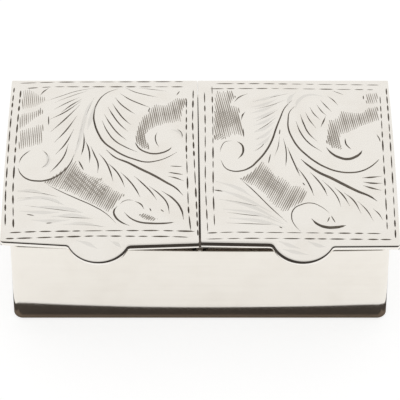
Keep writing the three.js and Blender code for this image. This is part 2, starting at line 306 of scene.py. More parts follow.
RIGHT_STROKES = {
    BOLD: [
        [(12.9, 13.9), (13.8, 12.8), (15.1, 11.6), (16.7, 10.6), (18.3, 9.5), (20.0, 8.4), (21.5, 7.6),
         (22.4, 6.8)],
        [(14.0, 3.9), (14.7, 3.1), (15.8, 2.6), (17.1, 2.6), (17.8, 2.75), (18.3, 2.9)],
        [(16.2, 16.1), (16.9, 15.0), (17.8, 14.3), (18.9, 14.0), (20.0, 14.5), (20.5, 15.0), (20.8, 15.6)],
    ],
    DEEP: [
        [(12.0, 25.6), (11.0, 23.9), (10.4, 21.9), (9.8, 19.7), (9.2, 17.3), (8.3, 15.1), (7.3, 13.5),
         (6.3, 12.3), (5.1, 11.7), (4.0, 11.7), (3.2, 12.2), (2.6, 13.6)],
        [(12.3, 24.3), (11.6, 23.0), (11.4, 21.5), (11.4, 19.7), (11.8, 18.0), (12.6, 16.1), (13.6, 14.7),
         (14.7, 13.5), (16.0, 12.5), (17.5, 11.8), (19.2, 11.6), (20.6, 11.9), (21.7, 12.6), (22.3, 13.2),
         (22.7, 13.7), (22.9, 14.0)],
        [(4.8, 13.9), (5.3, 14.6), (5.5, 15.6), (5.3, 16.5), (4.7, 17.1)],
        [(20.6, 10.7), (21.7, 10.8), (23.1, 11.0)],
        [(20.7, 10.0), (21.9, 9.8), (23.2, 9.8)],
        [(20.7, 9.4), (21.7, 9.0), (23.0, 8.6)],
    ],
    PLAIN: [
        [(4.4, 25.1), (5.1, 26.2), (6.2, 27.0)],
        [(5.3, 21.3), (5.5, 22.4), (5.8, 23.0)],
        [(11.2, 16.1), (11.7, 14.2), (12.3, 12.2), (12.7, 10.9)],
        [(12.4, 12.4), (13.4, 10.5), (14.0, 9.0), (14.4, 7.6)],
        [(14.0, 11.6), (14.9, 10.3), (15.7, 8.8), (16.1, 7.6)],
        [(17.1, 9.0), (18.1, 7.7), (18.9, 6.0)],
        [(18.2, 8.2), (19.4, 6.9), (20.3, 4.8)],
        [(16.3, 22.2), (16.0, 21.2), (15.6, 20.0)],
        [(13.0, 22.6), (13.4, 20.7), (14.0, 18.8), (15.0, 17.3)],
        [(12.4, 21.2), (13.0, 18.8), (14.0, 16.9), (15.6, 15.3)],
        [(18.7, 17.9), (18.7, 17.3), (18.8, 16.7), (19.1, 16.2), (19.4, 15.8)],
        [(1.7, 8.4), (2.9, 8.2)],
    ],
    FINE: [
        [(5.5, 19.7), (5.6, 17.9)],
        [(10.3, 19.5), (10.2, 18.5)],
        [(10.7, 17.7), (11.0, 15.7), (11.0, 13.8), (10.9, 12.6)],
        [(9.0, 14.8), (8.7, 13.1)],
        [(16.7, 26.6), (17.4, 25.7), (18.0, 24.6)],
        [(15.7, 25.7), (16.4, 24.4), (17.1, 23.2)],
        [(15.2, 24.7), (15.8, 23.3), (16.4, 22.4)],
        [(14.3, 24.1), (14.8, 22.7), (15.6, 21.5)],
        [(13.7, 23.0), (14.2, 21.4), (15.0, 19.8)],
        [(15.5, 10.2), (16.6, 8.8), (17.4, 7.3), (17.8, 5.8)],
        [(19.9, 6.8), (21.1, 5.2), (21.8, 3.6)],
        [(21.8, 5.6), (22.5, 4.8), (23.0, 3.8)],
        [(12.6, 1.9), (11.8, 3.0), (11.5, 4.1), (11.8, 5.4), (12.7, 6.1), (14.0, 6.4), (15.3, 5.8),
         (16.3, 4.8)],
        [(5.0, 10.4), (6.7, 8.4), (8.8, 5.7), (10.9, 3.3)],
        [(13.0, 9.8), (13.3, 9.3)],
        [(21.4, 26.8), (21.4, 25.9)],
        [(9.9, 2.6), (10.3, 2.4)],
        [(16.5, 4.4), (17.0, 3.3)],
        [(22.8, 18.7), (23.0, 18.2), (23.15, 17.7), (23.2, 17.2)],
        [(16.3, 4.2), (16.0, 3.4)],
    ],
    FAINT: [
        [(4.0, 17.2), (3.2, 17.0), (2.7, 16.1), (2.5, 15.1)],
        [(6.8, 25.1), (9.3, 26.2), (11.5, 27.1)],
        [(7.1, 23.6), (9.3, 24.5), (11.0, 25.6)],
        [(7.2, 21.1), (8.7, 22.2), (10.2, 23.6)],
        [(7.0, 19.0), (8.5, 20.3), (9.9, 22.0)],
        [(7.2, 17.4), (8.3, 18.3), (9.3, 19.6)],
        [(6.8, 15.2), (7.8, 16.1), (8.6, 17.6)],
        [(10.2, 18.1), (10.0, 16.2), (9.5, 14.4)],
        [(17.4, 27.8), (18.8, 26.9)],
        [(3.2, 6.8), (5.4, 6.3), (7.7, 5.7)],
        [(3.3, 4.8), (6.0, 4.4), (8.9, 4.1)],
        [(3.3, 3.1), (6.7, 3.0), (9.6, 2.9)],
    ],
}

# Shaded grounds between the scrolls: an outline and the lean of its parallel cuts, in degrees from upright.
LEFT_GROUNDS = [
    ([(5.1, 9.6), (7.2, 11.7), (8.2, 12.9), (9.0, 13.6), (9.6, 12.1), (10.2, 11.5), (10.8, 10.8),
      (11.8, 10.5), (12.6, 10.5), (12.0, 9.6), (13.3, 9.3), (14.1, 8.5), (15.1, 7.9), (15.5, 7.7),
      (14.5, 6.5), (14.1, 5.6), (13.4, 4.7), (11.0, 6.3), (8.7, 7.8), (6.5, 8.8)], 22),
    ([(16.6, 17.8), (16.9, 20.0), (17.4, 22.0), (18.3, 22.9), (18.5, 23.8), (19.0, 24.6), (20.5, 24.4),
      (21.6, 25.9), (23.2, 25.9), (23.1, 24.5), (22.6, 23.0), (22.5, 20.9), (20.4, 20.5), (19.2, 19.8),
      (18.3, 19.1), (17.8, 17.9), (18.4, 16.4), (18.4, 15.5), (17.5, 15.8), (16.9, 16.6)], -8),
    ([(17.2, 4.4), (17.8, 4.7), (18.6, 4.4), (19.6, 3.8), (19.1, 3.4), (17.9, 3.7)], 38),
]
LEFT_SLIGHT = [
    ([(1.5, 27.3), (1.7, 27.9), (2.5, 27.9), (3.3, 27.1), (3.9, 26.4), (4.6, 26.2), (4.6, 25.2), (4.3, 24.8),
      (3.7, 24.3), (3.3, 24.0), (2.5, 23.6), (1.7, 23.4)], -6),
    ([(1.5, 22.5), (2.1, 22.7), (2.8, 22.9), (3.5, 23.2), (4.0, 23.6), (4.6, 23.4), (4.6, 22.6), (4.0, 22.1),
      (3.2, 21.3), (2.6, 20.4), (2.1, 19.8), (1.5, 19.4)], -3),
    ([(1.6, 19.0), (2.1, 19.4), (3.3, 19.9), (3.9, 20.3), (4.6, 20.4), (4.8, 19.6), (4.6, 18.9), (4.7, 17.7),
      (4.7, 16.6), (3.7, 16.2), (2.6, 15.8), (1.6, 15.5)], -5),
]
LEFT_CROSSED = [
    ([(7.3, 9.5), (8.5, 11.5), (9.8, 11.7), (11.2, 10.8), (12.5, 10.4), (13.5, 8.7), (12.2, 7.2), (10.0, 8.0),
      (8.3, 8.6)], 48),
    ([(16.6, 17.8), (16.8, 19.2), (17.3, 20.0), (18.2, 19.0), (17.8, 17.9), (18.4, 16.4), (18.3, 15.6),
      (17.5, 15.8), (16.9, 16.6)], 47),
    ([(17.4, 4.2), (18.4, 4.5), (19.3, 3.9), (18.6, 3.6)], -45),
]
RIGHT_GROUNDS = [
    ([(2.0, 27.6), (4.2, 27.7), (4.6, 26.1), (3.9, 24.6), (5.1, 23.8), (5.1, 21.5), (5.2, 20.6), (5.6, 18.8),
      (5.6, 18.1), (4.2, 18.1), (3.1, 17.4), (1.8, 17.3), (1.7, 20.5), (1.8, 24.8)], -9),
    ([(5.0, 10.3), (6.8, 11.8), (7.9, 13.5), (8.7, 12.7), (9.5, 11.1), (10.7, 10.5), (11.6, 9.4), (12.8, 9.1),
      (13.7, 8.3), (12.9, 6.4), (11.7, 5.7), (10.9, 5.0), (10.2, 5.0), (9.0, 6.2), (8.0, 7.9),
      (6.4, 9.3)], 23),
    ([(16.2, 17.0), (16.5, 19.5), (16.7, 21.6), (17.9, 21.9), (18.3, 23.4), (19.7, 23.1), (21.1, 23.0),
      (22.0, 24.2), (23.2, 24.4), (23.2, 21.4), (21.4, 20.6), (20.2, 19.7), (18.9, 18.8), (18.2, 18.6),
      (17.9, 17.4), (18.3, 16.3), (18.1, 15.6), (17.0, 16.0)], -8),
]
RIGHT_SLIGHT = [
    ([(21.8, 27.3), (23.3, 27.5), (23.3, 25.1), (22.3, 24.8), (21.7, 25.0)], -8),
]
RIGHT_CROSSED = [
    ([(1.8, 22.9), (3.1, 23.2), (4.9, 23.2), (5.1, 21.1), (4.1, 19.9), (1.9, 19.5)], 43),
    ([(1.9, 18.6), (3.1, 18.6), (3.1, 17.5), (1.9, 17.2)], 43),
    ([(6.8, 10.9), (7.6, 12.4), (8.7, 11.8), (10.0, 10.0), (11.1, 8.7), (10.5, 7.7), (8.7, 8.7),
      (7.4, 9.6)], -43),
    ([(16.3, 17.0), (16.5, 18.4), (17.4, 18.4), (17.8, 17.4), (18.3, 16.3), (18.1, 15.7), (17.0, 16.1)], 42),
]

# Broad shallow cuts of a flat graver, which leave the surface a little grey
LEFT_SOFT = [
    [(11.0, 25.8), (10.3, 23.7), (9.9, 21.3), (9.6, 19.0), (9.3, 16.8), (8.8, 14.2)],
    [(11.7, 25.4), (11.05, 23.2), (10.65, 21.1), (10.35, 19.3)],
    [(1.7, 8.2), (3.8, 8.2), (5.8, 7.4)],
    [(1.8, 6.5), (4.5, 7.1), (6.4, 6.7), (7.8, 5.9)],
    [(3.6, 5.6), (6.2, 5.5), (8.7, 5.2), (10.2, 4.7)],
    [(2.2, 4.9), (5.1, 4.7), (7.2, 4.75)],
    [(6.2, 4.0), (8.8, 4.3), (11.3, 3.8)],
    [(3.8, 3.5), (6.2, 3.35), (8.6, 3.55)],
    [(7.8, 2.8), (10.1, 3.0), (12.7, 2.5)],
    [(4.9, 15.1), (5.5, 14.0), (5.3, 12.7), (4.8, 12.2)],
    [(21.2, 19.4), (22.3, 18.9), (22.7, 17.8)],
    [(9.5, 0.4), (11.0, -0.1), (12.1, -0.8)],
    [(13.8, 0.3), (14.6, -0.1), (15.1, -0.6)],
]
RIGHT_SOFT = [
    [(6.8, 25.3), (8.6, 25.9), (10.3, 27.0)],
    [(6.6, 24.0), (8.3, 24.6), (10.1, 25.9)],
    [(6.6, 22.8), (8.1, 23.4), (10.0, 24.8)],
    [(6.8, 21.5), (8.2, 22.2), (9.8, 23.6)],
    [(6.9, 20.2), (8.2, 20.9), (9.7, 22.3)],
    [(6.9, 18.8), (8.2, 19.6), (9.6, 21.0)],
    [(7.0, 17.5), (8.2, 18.2), (9.4, 19.8)],
    [(7.2, 16.3), (8.2, 17.0), (9.1, 18.4)],
    [(1.9, 9.9), (4.8, 8.7), (6.7, 7.2)],
    [(2.0, 8.6), (5.3, 7.2), (9.0, 4.8)],
    [(2.4, 6.9), (6.1, 5.9), (10.2, 3.4)],
    [(2.8, 5.3), (6.7, 4.7), (10.5, 3.0)],
    [(3.6, 3.9), (7.2, 3.5), (10.7, 2.5)],
    [(11.4, 24.1), (11.7, 26.0), (12.5, 27.3)],
    [(12.4, 23.9), (12.9, 25.6), (14.2, 26.8), (16.0, 26.6)],
    [(9.8, 0.4), (11.1, -0.2), (12.5, -0.7)],
    [(10.3, -0.8), (11.7, -1.2), (13.5, -1.6)],
    [(13.5, 0.4), (14.8, -0.2), (15.7, -0.4)],
]

# Double border: lines of short cuts, those along a lid's width first, then those along its depth
LEFT_BORDER = [
    [
        [(0.6, 0.6), (3.1, 0.7), (7.1, 0.9), (11.8, 1.1), (21.6, 1.1), (23.7, 1.0)],
        [(1.0, 1.5), (4.0, 1.7), (11.8, 1.9), (19.9, 2.0), (24.3, 1.9)],
        [(1.8, 28.1), (5.5, 28.5), (23.8, 28.5)],
        [(0.8, 29.3), (4.1, 29.5), (6.4, 29.6), (22.8, 29.7)],
    ],
    [
        [(0.4, 28.6), (0.3, 19.5), (0.3, 7.3), (0.5, 2.6)],
        [(1.3, 27.7), (1.2, 17.8), (1.2, 8.5), (1.6, 1.1)],
        [(23.2, 26.1), (23.2, 16.1), (23.5, 5.1), (23.9, 0.9)],
        [(24.1, 28.0), (24.0, 20.6), (24.3, 11.5), (24.7, 1.2)],
    ],
]
RIGHT_BORDER = [
    [
        [(0.6, 0.6), (6.2, 0.8), (24.0, 0.8)],
        [(0.6, 1.5), (3.8, 1.7), (22.9, 1.7)],
        [(0.9, 28.0), (8.8, 28.2), (22.8, 28.1)],
        [(1.8, 29.2), (8.0, 29.3), (24.7, 29.2)],
    ],
    [
        [(0.5, 27.3), (0.6, 20.8), (0.6, 9.2), (0.9, 1.7)],
        [(1.5, 28.7), (1.6, 18.9), (1.6, 8.0), (1.8, 1.4)],
        [(23.6, 26.9), (23.5, 15.1), (23.5, 1.8)],
        [(24.5, 28.7), (24.5, 16.4), (24.5, 1.0)],
    ],
]
STROKES = {"left": LEFT_STROKES, "right": RIGHT_STROKES}
SOFT = {"left": LEFT_SOFT, "right": RIGHT_SOFT}
BORDER = {"left": LEFT_BORDER, "right": RIGHT_BORDER}
# Shading in layers: each lid's grounds, with the pitch and width of their cuts
SHADING = (
    ({"left": LEFT_GROUNDS, "right": RIGHT_GROUNDS}, HATCH_PITCH, HATCH_WIDTH),
    ({"left": LEFT_SLIGHT, "right": RIGHT_SLIGHT}, HATCH_PITCH, SLIGHT_WIDTH),
    ({"left": LEFT_CROSSED, "right": RIGHT_CROSSED}, CROSSED_PITCH, CROSSED_WIDTH),
)


def clamp(value, low=0.0, high=1.0):
    return max(low, min(high, value))


def arch_height(y, drop=0.0):
    """Height of the surface that lies drop below the lids' top, at the depth y, in millimetres."""
    edge = min(abs(y), LID_BACK)
    radius = ARCH_RADIUS - drop
    angle = math.asin(edge / ARCH_RADIUS)
    height = ARCH_CENTRE + radius * math.cos(angle)
    return height - (abs(y) - edge) * math.tan(ARCH_ANGLE)


def on_lid(side, place):
    """Point of a lid in plan for a place in its pattern."""
    front_left, front_right, back_left, back_right = (Vector(corner) for corner in PATTERN_CORNERS[side])
    across, along = place[0] / LID_WIDTH, place[1] / LID_DEPTH
    return front_left.lerp(front_right, across).lerp(back_left.lerp(back_right, across), along)


# Materials


def set_inputs(tree, node, inputs):
    """Give each input of a node a value, or a link from another node's output."""
    for socket, source in inputs.items():
        if isinstance(source, bpy.types.NodeSocket):
            tree.links.new(source, node.inputs[socket])
        else:
            node.inputs[socket].default_value = source


def add_node(tree, kind, inputs=None, **settings):
    """New shader node with its settings and inputs."""
    node = tree.nodes.new("ShaderNode" + kind)
    for name, value in settings.items():
        setattr(node, name, value)
    set_inputs(tree, node, inputs or {})
    return node


def work_out(tree, kind, operation, *values):
    """Result of a Math or VectorMath node for values or links."""
    node = add_node(tree, kind, dict(enumerate(values)), operation=operation)
    return next(output for output in node.outputs if output.enabled)


def object_place(tree):
    """Place on the object, which every pattern follows."""
    return add_node(tree, "TexCoord").outputs["Object"]


def add_noise(tree, place, noise):
    """Cloudy pattern from 0 to 1."""
    scale, detail = noise
    return add_node(tree, "TexNoise", {"Vector": place, "Scale": scale, "Detail": detail}).outputs["Fac"]


def blend(tree, start, end, share):
    """Colour that goes from start to end as share goes from 0 to 1."""
    ends = {"A": (*start, 1.0), "B": (*end, 1.0)}
    return add_node(tree, "Mix", {"Factor": share, **ends}, data_type="RGBA").outputs["Result"]


def new_material(name):
    """New material, its node tree and its shader."""
    material = bpy.data.materials.new(name)
    material.use_nodes = True
    tree = material.node_tree
    return material, tree, tree.nodes["Principled BSDF"]


def make_polish_group():
    """Fine rubbing marks, soft waves of hand polishing and faint brown breath of tarnish."""
    group = bpy.data.node_groups.new("hand_polish", "ShaderNodeTree")
    sockets = group.interface
    for axis in "XYZ":
        sockets.new_socket("Along " + axis, in_out="INPUT", socket_type="NodeSocketFloat")
    for name in ("Marks", "Waves", "Tarnish"):
        sockets.new_socket(name, in_out="OUTPUT", socket_type="NodeSocketFloat")
    inside = group.nodes.new("NodeGroupInput")
    outside = group.nodes.new("NodeGroupOutput")
    place = object_place(group)
    stretch = add_node(group, "CombineXYZ", {axis: inside.outputs["Along " + axis] for axis in "XYZ"})
    scaled = work_out(group, "VectorMath", "MULTIPLY", place, stretch.outputs["Vector"])
    stain = add_noise(group, place, STAIN_NOISE)
    spread = {"Value": stain, "From Min": STAIN_RANGE[0], "From Max": STAIN_RANGE[1]}
    looks = {
        "Marks": add_noise(group, scaled, MARK_NOISE),
        "Waves": add_noise(group, place, WAVE_NOISE),
        "Tarnish": add_node(group, "MapRange", spread).outputs["Result"],
    }
    set_inputs(group, outside, looks)
    return group


POLISH = make_polish_group()


def make_silver(name, tone, tarnish_and_shade_tone, roughness, along, streak, bump):
    """Silver with the hand_polish effect: tone where it is clean, tarnished where it is dull or streaked."""
    material, tree, shader = new_material(name)
    stretch = {"Along " + axis: value for axis, value in zip("XYZ", along)}
    polish = add_node(tree, "Group", stretch, node_tree=POLISH).outputs
    dulled = work_out(tree, "Math", "MULTIPLY_ADD", polish["Marks"], streak, polish["Tarnish"])
    limits = {"Value": polish["Marks"], "To Min": roughness[0], "To Max": roughness[1]}
    rough = add_node(tree, "MapRange", limits)
    height = work_out(tree, "Math", "MULTIPLY_ADD", polish["Marks"], MARK_HEIGHT, polish["Waves"])
    relief = add_node(tree, "Bump", {"Strength": bump, "Distance": RELIEF_DEPTH * MM, "Height": height})
    looks = {
        "Metallic": 1.0,
        "Base Color": blend(tree, tone, tarnish_and_shade_tone, dulled),
        "Roughness": rough.outputs["Result"],
        "Normal": relief.outputs["Normal"],
    }
    set_inputs(tree, shader, looks)
    return material


SILVER = make_silver(
    "polished_silver", (0.87, 0.835, 0.775), (0.83, 0.79, 0.725), (0.06, 0.15), (60, 900, 2200), 0.6, 0.10
)
LID_SILVER = make_silver(
    "lid_silver", (0.91, 0.88, 0.83), (0.86, 0.82, 0.76), (0.10, 0.22), (70, 2000, 900), 0.3, 0.12
)
SOFT_CUT = make_silver(
    "soft_cut", (0.81, 0.785, 0.745), (0.76, 0.73, 0.68), (0.18, 0.30), (70, 2000, 900), 0.3, 0.12
)
INNER_SILVER = make_silver(
    "satin_silver", (0.80, 0.78, 0.74), (0.70, 0.66, 0.58), (0.28, 0.45), (500, 700, 500), 0.3, 0.2
)
WIRE_SILVER = make_silver(
    "hinge_wire", (0.82, 0.80, 0.77), (0.60, 0.55, 0.47), (0.22, 0.38), (200, 3000, 3000), 0.3, 0.2
)


def make_oxide_and_painted_shade(name, dark, light, roughness):
    """Dark silver: oxide as it stays in cuts that polishing doesn't reach, and painted shade in corners and a
    painted dark reflection on the lids' front edge.
    """
    material, tree, shader = new_material(name)
    colour = blend(tree, dark, light, add_noise(tree, object_place(tree), GRIME_NOISE))
    set_inputs(tree, shader, {"Metallic": OXIDE_METAL, "Roughness": roughness, "Base Color": colour})
    return material


def make_shaded_side(name, unshaded, tarnish_and_shade_tone):
    """Side of a bezel, with painted shade that darkens it close under the lid."""
    material, tree, shader = new_material(name)
    place = add_node(tree, "SeparateXYZ", {"Vector": object_place(tree)})
    limits = {"From Min": BEZEL_SHADE_HEIGHTS[0] * MM, "From Max": BEZEL_SHADE_HEIGHTS[1] * MM, "Value": place.outputs["Z"]}
    shade_mask = add_node(tree, "MapRange", limits, interpolation_type="SMOOTHSTEP")
    colour = blend(tree, unshaded, tarnish_and_shade_tone, shade_mask.outputs["Result"])
    set_inputs(tree, shader, {"Metallic": OXIDE_METAL, "Roughness": BEZEL_ROUGHNESS, "Base Color": colour})
    return material


CUT = make_oxide_and_painted_shade("engraved_cut", (0.08, 0.068, 0.057), (0.31, 0.267, 0.22), 0.42)
HATCH = make_oxide_and_painted_shade("shading_cut", (0.38, 0.347, 0.309), (0.64, 0.60, 0.545), 0.38)
# Painted shade for the divider's top and front end, dark as the hollow between the lids
CREVICE_SHADE = make_oxide_and_painted_shade("painted_crevice_shade", (0.12, 0.10, 0.085), (0.19, 0.16, 0.135), 0.55)
# Painted dark reflection on the lids' front edge, where the polished round would mirror the dark room in
# front
PAINTED_EDGE_REFLECTION = make_oxide_and_painted_shade("painted_edge_reflection", (0.05, 0.042, 0.035), (0.08, 0.066, 0.055), 0.4)
# Bezel side: plain below, with painted shade close under the lid
BEZEL_SIDE = make_shaded_side("bezel_side", (0.64, 0.605, 0.55), (0.12, 0.097, 0.08))
LID_FINISHES = (LID_SILVER, SOFT_CUT, CUT, HATCH, PAINTED_EDGE_REFLECTION)


def make_paper():
    """White floor paper: plain under the lamp, and lit from itself where the camera or the metal sees it."""
    material, tree, shader = new_material("white_paper")
    path = add_node(tree, "LightPath").outputs
    seen = path["Is Camera Ray"]
    for ray in ("Is Glossy Ray", "Is Transmission Ray"):
        seen = work_out(tree, "Math", "MAXIMUM", seen, path[ray])
    looks = {
        "Base Color": (*FLOOR_TONE, 1.0),
        "Roughness": FLOOR_ROUGHNESS,
        "Emission Color": (*WHITE, 1.0),
        "Emission Strength": work_out(tree, "Math", "MULTIPLY", seen, FLOOR_GLOW),
    }
    set_inputs(tree, shader, looks)
    return material


def make_shadow_paper(low, high):
    """Painted shadow: dark paper that is paler close to the foot of a case between two corners in plan."""
    material, tree, shader = new_material("painted_shadow_card")
    middle, half = (low + high) / 2 * MM, (high - low) / 2 * MM
    centred = work_out(tree, "VectorMath", "SUBTRACT", object_place(tree), middle)
    folded = work_out(tree, "VectorMath", "ABSOLUTE", centred)
    beyond = work_out(tree, "VectorMath", "SUBTRACT", folded, half)
    split = add_node(tree, "SeparateXYZ", {"Vector": beyond}).outputs
    away = work_out(tree, "Math", "MAXIMUM", split["X"], split["Y"])
    # The painted shadow is paler close to the foot and darker further out
    limits = {"From Min": CARD_FOOT[1] * MM, "From Max": CARD_FOOT[0] * MM, "Value": away}
    foot = add_node(tree, "MapRange", limits, interpolation_type="SMOOTHSTEP")
    colour = blend(tree, CARD_SHADOW_TONE, CARD_FOOT_SHADOW_TONE, foot.outputs["Result"])
    set_inputs(tree, shader, {"Roughness": CARD_ROUGHNESS, "Base Color": colour})
    return material


# Mesh helpers


def add_object(name, data):
    """New object in the scene, at the origin."""
    item = bpy.data.objects.new(name, data)
    bpy.context.collection.objects.link(item)
    return item


def mesh_from(name, bm, materials):
    """Mesh of a bmesh, which is freed, with its materials."""
    mesh = bpy.data.meshes.new(name)
    bm.to_mesh(mesh)
    bm.free()
    for material in materials:
        mesh.materials.append(material)
    return mesh


def evaluated_mesh(source):
    """Mesh of an object with its modifiers, as a new mesh."""
    bpy.context.view_layer.update()
    return bpy.data.meshes.new_from_object(source.evaluated_get(bpy.context.evaluated_depsgraph_get()))


def finish_piece(name, bm, materials, node, body, slot, sharp=SHARP_ANGLE):
    """Turn a bmesh in millimetres into an object in metres, with smooth rounds and crisp edges.

    It takes the place of a node and rides on a body. The slot argument is not used.
    """
    bmesh.ops.remove_doubles(bm, verts=bm.verts, dist=MERGED)
    bmesh.ops.recalc_face_normals(bm, faces=bm.faces)
    bmesh.ops.scale(bm, vec=(MM, MM, MM), verts=bm.verts)
    mesh = mesh_from(name, bm, materials)
    mesh.shade_smooth()
    mesh.set_sharp_from_angle(angle=math.radians(sharp))
    piece = add_object(name, mesh)
    level = piece.modifiers.new("level", "WEIGHTED_NORMAL")
    level.keep_sharp = True
    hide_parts(node)
    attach(piece, body)


def node_box(node):
    """Low and high corner of a node, in millimetres."""
    low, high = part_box(node)
    return Vector(low) / MM, Vector(high) / MM


def rounded_plate(bm, low, high, corner):
    """Flat face with round corners between two corners in plan."""
    middle = Matrix.Translation(((low[0] + high[0]) / 2, (low[1] + high[1]) / 2, low[2]))
    size = Matrix.Diagonal(((high[0] - low[0]) / 2, (high[1] - low[1]) / 2, 1.0, 1.0))
    bmesh.ops.create_grid(bm, x_segments=1, y_segments=1, size=1.0, matrix=middle @ size)
    corners = bm.verts[:]
    bmesh.ops.bevel(
        bm, geom=corners, affect="VERTICES", offset=corner, segments=CORNER_STEPS, profile=0.5, material=-1
    )
    bm.faces.ensure_lookup_table()
    return bm.faces[0]


def upright_frame(bm, low, high, corner, sheet):
    """Frame with round corners that fills a box, of a sheet's thickness."""
    plate = rounded_plate(bm, low, high, corner)
    bmesh.ops.inset_region(bm, faces=[plate], thickness=sheet, use_even_offset=True, use_boundary=True)
    bmesh.ops.delete(bm, geom=[plate], context="FACES")
    push(bm, bm.faces[:], (0, 0, high.z - low.z))


def push(bm, faces, move):
    """Extrude faces and move the new ones."""
    made = bmesh.ops.extrude_face_region(bm, geom=faces)
    verts = [item for item in made["geom"] if isinstance(item, bmesh.types.BMVert)]
    bmesh.ops.translate(bm, vec=move, verts=verts)


def cut_strips(bm, way, start, end, count):
    """Add evenly spaced cuts along a way, so that a flat piece can bend."""
    for step in range(1, count):
        place = way * (start + (end - start) * step / count)
        geom = bm.verts[:] + bm.edges[:] + bm.faces[:]
        bmesh.ops.bisect_plane(bm, geom=geom, dist=EXACT, plane_co=place, plane_no=way)


def crisp_edges(bm, low, high):
    """Edges between two heights where two faces meet nearly at a right angle."""
    found = []
    for edge in bm.edges:
        heights = [vert.co.z for vert in edge.verts]
        if min(heights) < low or max(heights) > high or len(edge.link_faces) != 2:
            continue
        if edge.calc_face_angle() > math.radians(RIM_ANGLE):
            found.append(edge)
    return found


def round_edges(bm, edges, offset, segments):
    bmesh.ops.bevel(
        bm, geom=edges, affect="EDGES", offset=offset, segments=segments, profile=0.5, material=-1,
        clamp_overlap=True,
    )


def raise_to_arch(bm, middle, drop):
    """Move every vertex above a height to the surface that lies drop below the lids' top."""
    for vert in bm.verts:
        if vert.co.z > middle:
            vert.co.z = arch_height(vert.co.y, drop)


# Case


def rim_dip(place, low, high):
    """Shallow hollow filed into the front rim, deepest a little to the right of the divider."""
    away = (place.x - FRONT_RIM_LOW) / (high.x + FRONT_RIM_LOW)
    dip = FRONT_RIM_DROP + FRONT_RIM_SAG * (1 - away ** 2)
    front = (low.y + CASE_CORNER + WALL_SHEET - place.y) / CASE_CORNER
    return dip * clamp(front)


def make_wall_band():
    low, high = node_box("wall_band")
    bm = bmesh.new()
    upright_frame(bm, low, high, CASE_CORNER, WALL_SHEET)
    cut_strips(bm, DEPTHWAYS, low.y, high.y, WALL_STRIPS)
    cut_strips(bm, WIDTHWAYS, low.x, high.x, COARSE_STRIPS)
    middle = (low.z + high.z) / 2
    for vert in bm.verts:
        if vert.co.z > middle:
            vert.co.z = arch_height(vert.co.y, RIM_DROP) - rim_dip(vert.co, low, high)
    round_edges(bm, crisp_edges(bm, middle, math.inf), RIM_ROUND, RIM_STEPS)
    finish_piece("wall_band_silver", bm, [SILVER], "wall_band", "case", "polished_silver")


def make_base_plate():
    low, high = node_box("base_plate")
    bm = bmesh.new()
    plate = rounded_plate(bm, low, high, CASE_CORNER)
    push(bm, [plate], (0, 0, high.z - low.z))
    bottom = [edge for edge in bm.edges if max(vert.co.z for vert in edge.verts) < low.z + NEAR]
    round_edges(bm, bottom, BASE_EDGE, BASE_STEPS)
    finish_piece("base_plate_silver", bm, [SILVER], "base_plate", "case", "polished_silver")


def make_divider():
    """Wall between the compartments, with painted shade on its top and its front end, which lie in the dark
    between the lids.
    """
    low, high = node_box("divider")
    bm = bmesh.new()
    place = Matrix.Translation((low + high) / 2)
    bmesh.ops.create_cube(bm, size=1.0, matrix=place @ Matrix.Diagonal((*(high - low), 1.0)))
    cut_strips(bm, DEPTHWAYS, low.y, high.y, COARSE_STRIPS)
    middle = (low.z + high.z) / 2
    raise_to_arch(bm, middle, RIM_DROP)
    round_edges(bm, crisp_edges(bm, middle, math.inf), RIM_ROUND, RIM_STEPS)
    bm.normal_update()
    finishes = [INNER_SILVER, CREVICE_SHADE]
    # The top and the front end get the painted shade
    for face in bm.faces:
        if face.normal.z > FACING_UP or face.normal.y < -FACING_OUT:
            face.material_index = finishes.index(CREVICE_SHADE)
    finish_piece("divider_silver", bm, finishes, "divider", "case", "inner_silver")


# Lids


def lid_corners(side):
    """A lid's corners in plan: front left, front right, back right and back left."""
    if side == "left":
        across = (-LID_REACH, -SPLIT_FRONT / 2, -SPLIT_LEAN - SPLIT_BACK / 2, BACK_NARROWING - LID_REACH)
    else:
        across = (SPLIT_FRONT / 2, LID_REACH, LID_REACH - BACK_NARROWING, SPLIT_BACK / 2 - SPLIT_LEAN)
    depths = (LID_FRONT - FRONT_LINE[side][0], LID_FRONT - FRONT_LINE[side][3], LID_BACK, LID_BACK)
    return [Vector((x, y, 0.0)) for x, y in zip(across, depths)]


def tab_fillet(front):
    """Fillet beside a tab: how far aside of the tab's middle it is centred, and the angle where they meet."""
    rise = TAB_CENTRE - (front - TAB_FILLET)
    aside = math.sqrt((TAB_RADIUS + TAB_FILLET) ** 2 - rise ** 2)
    return aside, math.atan2(rise, aside)


def swing(bm, vert, centre, angle, steps):
    """Carry a vertex round a centre in plan, which leaves a line of edges, and return the last vertex."""
    made = bmesh.ops.spin(
        bm, geom=[vert], cent=(*centre, 0.0), axis=(0, 0, 1), dvec=(0, 0, 0), angle=angle, steps=steps
    )
    return made["geom_last"][0]


